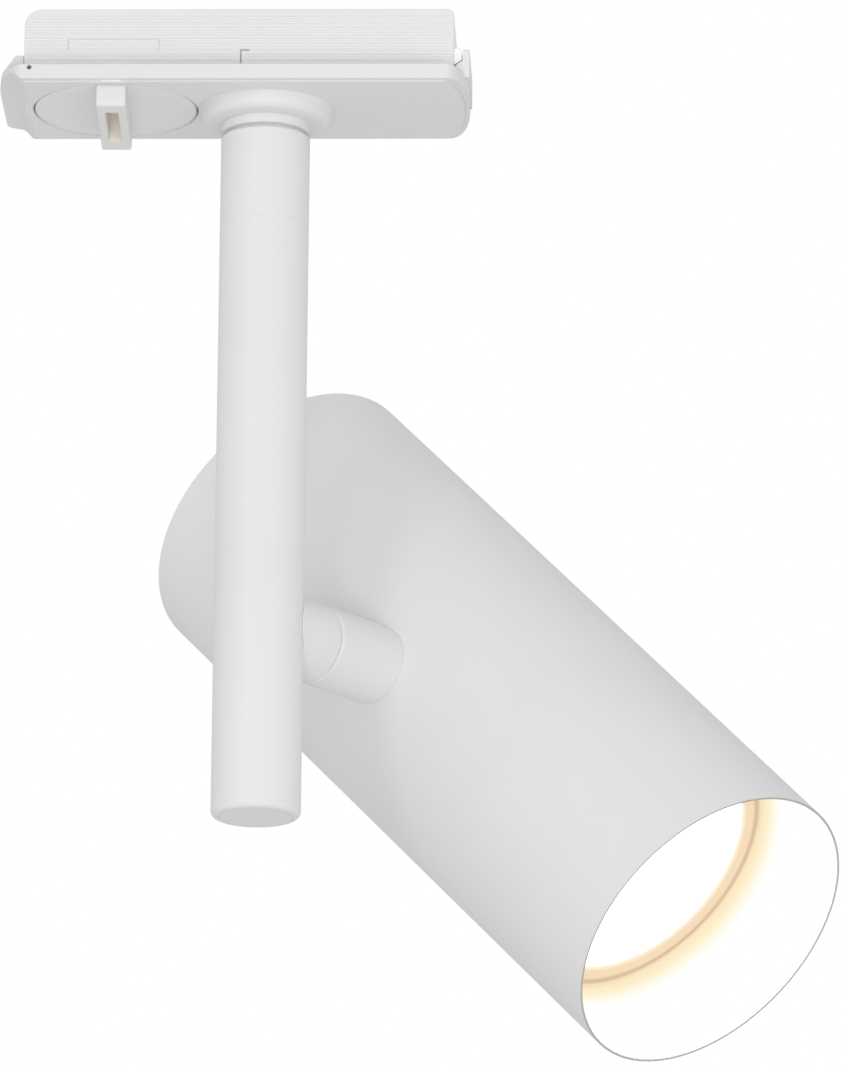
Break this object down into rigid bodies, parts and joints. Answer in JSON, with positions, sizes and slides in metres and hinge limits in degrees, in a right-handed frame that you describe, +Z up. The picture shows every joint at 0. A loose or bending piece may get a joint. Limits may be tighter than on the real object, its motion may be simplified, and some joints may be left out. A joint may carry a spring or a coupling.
{
  "type": "track spotlight",
  "caption": "Cylindrical white spotlight head on a side pivot, carried by a slim drop stem that swivels under a track adapter with a locking knob.",
  "frame": {"origin": "centre of the swivel joint, where the stem meets the adapter, on the stem's axis", "axes": "+Z up along the stem, +X along the track, +Y across the track; the camera side is -Y"},
  "size_m": [0.1606, 0.1236, 0.1974],
  "materials": {
    "white_paint": "matt white powder coat",
    "white_plastic": "satin white moulded plastic",
    "dark_nylon": "dark nylon",
    "steel": "zinc plated",
    "brass": "stamped brass",
    "aluminium": "turned and white coated inside",
    "ceramic": "glazed ceramic",
    "grey_plastic": "moulded terminal block",
    "live_insulation": "brown insulation",
    "neutral_insulation": "blue insulation",
    "earth_insulation": "green and yellow insulation",
    "cable_sheath": "white sheath",
    "lamp_white": "white lamp body",
    "lamp_glass": "frosted, lit warm white",
    "led": "led board"
  },
  "bodies": {
    "adapter": {"adapter_cover": "white_plastic", "insert_housing": "white_plastic", "end_latch": "white_plastic", "adapter_screws": "steel", "swivel_bush": "white_plastic", "earth_contact": "brass", "terminal_block": "grey_plastic", "terminal_screws": "steel", "live_brush": "brass", "neutral_brush": "brass", "live_wire": "live_insulation", "earth_wire": "earth_insulation", "neutral_wire": "neutral_insulation"},
    "knob": {"lock_knob": "white_plastic", "contact_rotor": "white_plastic", "live_contact": "brass", "neutral_contact": "brass", "rotor_screw": "steel"},
    "stem": {"swivel_nipple": "steel", "thrust_washer": "dark_nylon", "wave_washer": "steel", "swivel_nut": "steel", "pan_stop_washer": "steel", "stem_coupler": "white_paint", "stem_tube": "white_paint", "stem_end_plug": "white_paint", "stem_cable": "cable_sheath", "stem_pivot_boss": "white_paint", "friction_washer": "dark_nylon", "tilt_stop_pin": "steel"},
    "head": {"head_pivot_boss": "white_paint", "tilt_bolt": "steel", "saddle_washer": "steel", "tilt_nut": "steel", "head_housing": "white_paint", "back_plate": "white_paint", "back_plate_screws": "steel", "spacer_rods": "aluminium", "lamp_carrier": "aluminium", "bezel_ring": "aluminium", "lamp_holder": "ceramic", "holder_screws": "steel", "holder_contacts": "brass", "head_cable": "cable_sheath"},
    "lamp": {"lamp_body": "lamp_white", "lamp_lens": "lamp_glass", "led_board": "led", "lamp_pins": "steel"}
  },
  "joints": [
    {"name": "knob_turn", "type": "hinge", "parent": "adapter", "child": "knob", "pos_m": [-0.0288, 0, 0.0053], "axis": [0, 0, 1], "range_deg": [-90, 0]},
    {"name": "stem_swivel", "type": "hinge", "parent": "adapter", "child": "stem", "pos_m": [0, 0, 0], "axis": [0, 0, 1], "range_deg": [-165, 165]},
    {"name": "head_tilt", "type": "hinge", "parent": "stem", "child": "head", "pos_m": [0, 0, -0.097], "axis": [0.5948, 0.8039, 0], "range_deg": [-43.1, 46.9]},
    {"name": "lamp_twist", "type": "hinge", "parent": "head", "child": "lamp", "pos_m": [0.03795, 0.05129, -0.097], "axis": [0.5869, -0.4343, -0.6833], "range_deg": [0, 20]}
  ]
}
